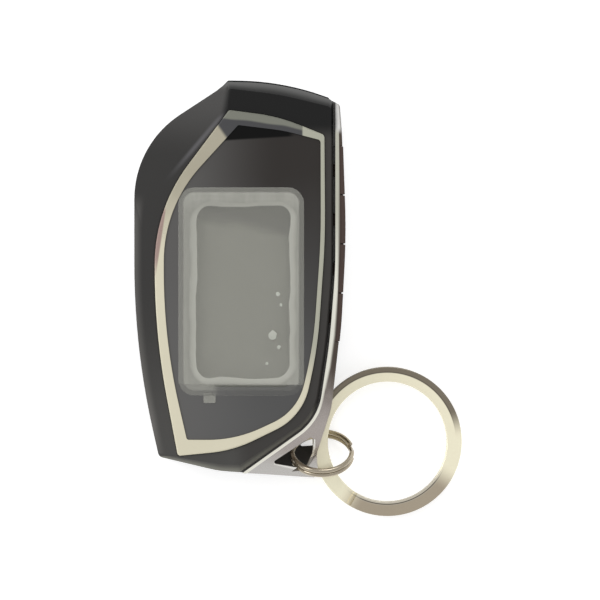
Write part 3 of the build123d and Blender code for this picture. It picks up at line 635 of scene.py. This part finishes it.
# Film over the display: a thin hazy sheet with a pull tab. Each ripple is a step in from its edge
# and the rise there
filmLook = {
    "sheet": {"left": -12.4, "right": 12.6, "bottom": -23.1, "top": 18.3, "radius": 3.2,
              "thickness": 0.03},
    "tab": {"left": -7.4, "right": -5.0, "bottom": -24.6, "top": -22.6, "radius": 0.3,
            "thickness": 0.14},
    "ripples": [(0.25, 0.09), (0.45, 0.03), (0.3, 0.08), (0.7, 0.02), (0.6, -0.08), (0.4, 0.05),
                (0.25, -0.11)],
    "base": 17.26, "cornerSteps": 8, "smoothAngle": 40,
    "color": tone(182, 182, 173),
    "grain": {"roughness": 0.2, "spread": 0.15, "scale": 900.0, "depth": 0.1},
    "rimHaze": 0.22, "bandHaze": (0.5, 0.6), "bandY": (13.0, 16.0), "bandDepth": (0.45, 1.3),
    "streakStretch": (1.0, 0.15, 1.0), "streakScale": 0.5, "streakReach": 0.5, "streakLevel": 0.97,
    "lcdCentre": (0.55, -2.5, 0.0), "lcdHalf": (9.25, 17.0, 0.0), "lcdRadius": 2.6, "lcdWobble": 1.3,
    "lcdHaze": 0.22, "lcdFade": (-0.1, 0.12),
    "lineHaze": (0.78, 0.62), "lineY": (12.0, 15.0), "lineIn": (-2.7, -0.5), "lineOut": (0.15, -0.15),
    "lowDarkY": (-21.3, -20.7), "cornerHaze": (0.7, 0.15), "cornerX": (-6.0, -4.0),
    "tabHaze": (0.0, 0.34), "tabFade": 0.1,
}


# The first primitive starts a piece, and the next ones join it in edit mode
def enterEdit():
    if bpy.context.mode == "OBJECT":
        bpy.ops.object.mode_set(mode="EDIT")


# A sheet with rounded corners, left open in edit mode with its upper face selected
def addSheet(left, right, bottom, top, radius, thickness):
    middle = (millimetre * (left + right) / 2, millimetre * (bottom + top) / 2,
              millimetre * filmLook["base"])
    bpy.ops.mesh.primitive_plane_add(size=millimetre, location=middle)
    enterEdit()
    bpy.ops.transform.resize(value=(right - left, top - bottom, 1), center_override=middle)
    bpy.ops.mesh.bevel(offset=radius * millimetre, affect="VERTICES", segments=filmLook["cornerSteps"])
    bpy.ops.mesh.extrude_region_move(TRANSFORM_OT_translate={"value": (0, 0, thickness * millimetre)})


def finishPiece(name, smoothAngle):
    bpy.ops.mesh.select_all(action="SELECT")
    bpy.ops.mesh.normals_make_consistent(inside=False)
    bpy.ops.object.mode_set(mode="OBJECT")
    bpy.ops.object.transform_apply(location=True, rotation=True, scale=True)
    bpy.ops.object.shade_smooth_by_angle(angle=radians(smoothAngle))
    piece = bpy.context.object
    piece.name = name
    return piece


def modelFilm():
    bpy.ops.object.select_all(action="DESELECT")
    addSheet(**filmLook["sheet"])
    for step, rise in filmLook["ripples"]:
        bpy.ops.mesh.inset(thickness=step * millimetre, depth=rise * millimetre)
    addSheet(**filmLook["tab"])
    return finishPiece("coverFilm", filmLook["smoothAngle"])


# Haze over the bare lens: a faint rim, a streaky band and a pale line round the display
def filmHaze(tree, place, parts, edge, display):
    look = filmLook
    streak = sway(tree, vectorCalc(tree, "MULTIPLY", place, look["streakStretch"]),
                  look["streakScale"], look["streakReach"])
    broad = combine(tree, "MULTIPLY", ramp(tree, parts[1], *look["bandY"], *look["bandHaze"]),
                    calc(tree, "ADD", streak, look["streakLevel"]),
                    ramp(tree, edge, *look["bandDepth"]))
    line = calc(tree, "MULTIPLY", band(tree, display, look["lineIn"], look["lineOut"]),
                ramp(tree, parts[1], *look["lineY"], *look["lineHaze"]))
    return combine(tree, "MAXIMUM", broad, line, look["rimHaze"])


def makeFilm():
    look = filmLook
    sheet = look["sheet"]
    material, tree, shader = newMaterial("hazyFilm")
    place = objectPlace(tree)
    parts = splitVector(tree, place)
    middle = ((sheet["left"] + sheet["right"]) / 2, (sheet["bottom"] + sheet["top"]) / 2, 0.0)
    half = ((sheet["right"] - sheet["left"]) / 2, (sheet["top"] - sheet["bottom"]) / 2, 0.0)
    edge = useGroup(tree, panelGroup, Centre=middle, Half=half, Radius=sheet["radius"])
    display = useGroup(tree, panelGroup, Centre=look["lcdCentre"], Half=look["lcdHalf"],
                       Radius=look["lcdRadius"], Wobble=look["lcdWobble"]).outputs["Depth"]
    haze = filmHaze(tree, place, parts, edge.outputs["Depth"], display)
    # Less haze along the bottom edge, save at the left corner: a painted dark reflection
    low = calc(tree, "MAXIMUM", ramp(tree, parts[1], *look["lowDarkY"]),
               ramp(tree, parts[0], *look["cornerX"], *look["cornerHaze"]))
    onTab = ramp(tree, parts[1], sheet["bottom"] + look["tabFade"], sheet["bottom"] - look["tabFade"],
                 *look["tabHaze"])
    outside = calc(tree, "MAXIMUM", calc(tree, "MULTIPLY", haze, low), onTab)
    within = ramp(tree, display, *look["lcdFade"])
    connect(tree, mixLevels(tree, within, outside, look["lcdHaze"]), shader.inputs["Alpha"])
    grainInto(tree, shader, look["color"], **look["grain"])
    return material


film = modelFilm()
film.data.materials.append(makeFilm())
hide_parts("protective_film")
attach(film, "case")

# Bubbles trapped under the film: flat and a little uneven. Each place is x, y and the radius
bubbleLook = {
    "places": [(7.4, -2.9, 0.42), (8.0, -5.1, 0.3), (6.4, -11.1, 0.85), (7.6, -13.5, 0.38),
               (5.2, -16.7, 0.3)],
    "level": 17.37, "height": 0.07, "stretch": 1.15, "uneven": 0.4, "smoothing": 0.5,
    "segments": 16, "rings": 8, "smoothAngle": 80,
    "finish": {"color": tone(196, 198, 188), "roughness": 0.15, "alpha": 0.75},
}


def modelBubbles():
    look = bubbleLook
    bpy.ops.object.select_all(action="DESELECT")
    for number, (x, y, size) in enumerate(look["places"], 1):
        middle = (x * millimetre, y * millimetre, look["level"] * millimetre)
        bpy.ops.mesh.primitive_uv_sphere_add(segments=look["segments"], ring_count=look["rings"],
                                             radius=size * millimetre, location=middle)
        enterEdit()
        bpy.ops.transform.vertex_random(offset=look["uneven"] * size * millimetre, seed=number)
        bpy.ops.mesh.vertices_smooth(factor=look["smoothing"], repeat=1)
        bpy.ops.transform.resize(value=(1, look["stretch"], look["height"] / size),
                                 center_override=middle)
    return finishPiece("filmBubbles", look["smoothAngle"])


bubbles = modelBubbles()
bubbles.data.materials.append(makeFinish("bubbleHaze", **bubbleLook["finish"]))
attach(bubbles, "case")
print("stage: film and bubbles")

# Floor, world, lamps and camera, with places and sizes in metres. The camera looks straight down,
# and its width is what it sees at the given level
white = tone(255, 255, 255)
cameraView = {"x": 0.0118, "y": -0.0041, "height": 1.5, "width": 0.120, "levelZ": 0.009,
              "sensor": 36.0, "reach": 10.0}
floorLook = {"color": tone(218, 218, 218), "roughness": 0.9, "glow": 0.60, "size": 1.2, "z": -0.0002}
lampLook = {
    "world": 0.72, "size": 0.35, "aim": (0, 0, 0.01),
    "lamps": {"leftLamp": {"power": 1.1, "spot": (-0.45, 0.15, 0.45)},
              "topLamp": {"power": 0.9, "spot": (0.15, 0.45, 0.5)}},
}


# The floor glows in what the camera sees of it, straight, in gloss or through the lens
def buildFloor():
    place = (cameraView["x"], cameraView["y"], floorLook["z"])
    bpy.ops.mesh.primitive_plane_add(size=floorLook["size"], location=place)
    floor = bpy.context.object
    floor.name = "floor"
    material, tree, shader = newMaterial("paleFloor")
    shader.inputs["Base Color"].default_value = floorLook["color"]
    shader.inputs["Roughness"].default_value = floorLook["roughness"]
    shader.inputs["Emission Color"].default_value = white
    rays = addNode(tree, "ShaderNodeLightPath").outputs
    seen = combine(tree, "MAXIMUM", rays["Is Camera Ray"], rays["Is Glossy Ray"],
                   rays["Is Transmission Ray"])
    connect(tree, calc(tree, "MULTIPLY", seen, floorLook["glow"]), shader.inputs["Emission Strength"])
    floor.data.materials.append(material)


def buildWorld():
    world = bpy.data.worlds.new("studio")
    bpy.context.scene.world = world
    world.use_nodes = True
    tree = world.node_tree
    back = tree.nodes["Background"]
    back.inputs["Color"].default_value = white
    rays = addNode(tree, "ShaderNodeLightPath").outputs
    strength = calc(tree, "MAXIMUM", rays["Is Camera Ray"], lampLook["world"])
    connect(tree, strength, back.inputs["Strength"])


def buildLamps():
    for name, look in lampLook["lamps"].items():
        lamp = bpy.data.lights.new(name, "AREA")
        lamp.energy = look["power"]
        lamp.size = lampLook["size"]
        holder = bpy.data.objects.new(name, lamp)
        bpy.context.scene.collection.objects.link(holder)
        holder.location = look["spot"]
        aim = Vector(lampLook["aim"]) - Vector(look["spot"])
        holder.rotation_euler = aim.to_track_quat("-Z", "Y").to_euler()


def buildCamera():
    lens = bpy.data.cameras.new("camera")
    holder = bpy.data.objects.new("camera", lens)
    bpy.context.scene.collection.objects.link(holder)
    holder.location = (cameraView["x"], cameraView["y"], cameraView["height"])
    distance = cameraView["height"] - cameraView["levelZ"]
    lens.sensor_width = cameraView["sensor"]
    lens.lens = cameraView["sensor"] * distance / cameraView["width"]
    lens.clip_end = cameraView["reach"]
    bpy.context.scene.camera = holder
    bpy.context.scene.view_settings.view_transform = "Standard"


buildFloor()
buildWorld()
buildLamps()
buildCamera()
print("stage: floor, lamps and camera")
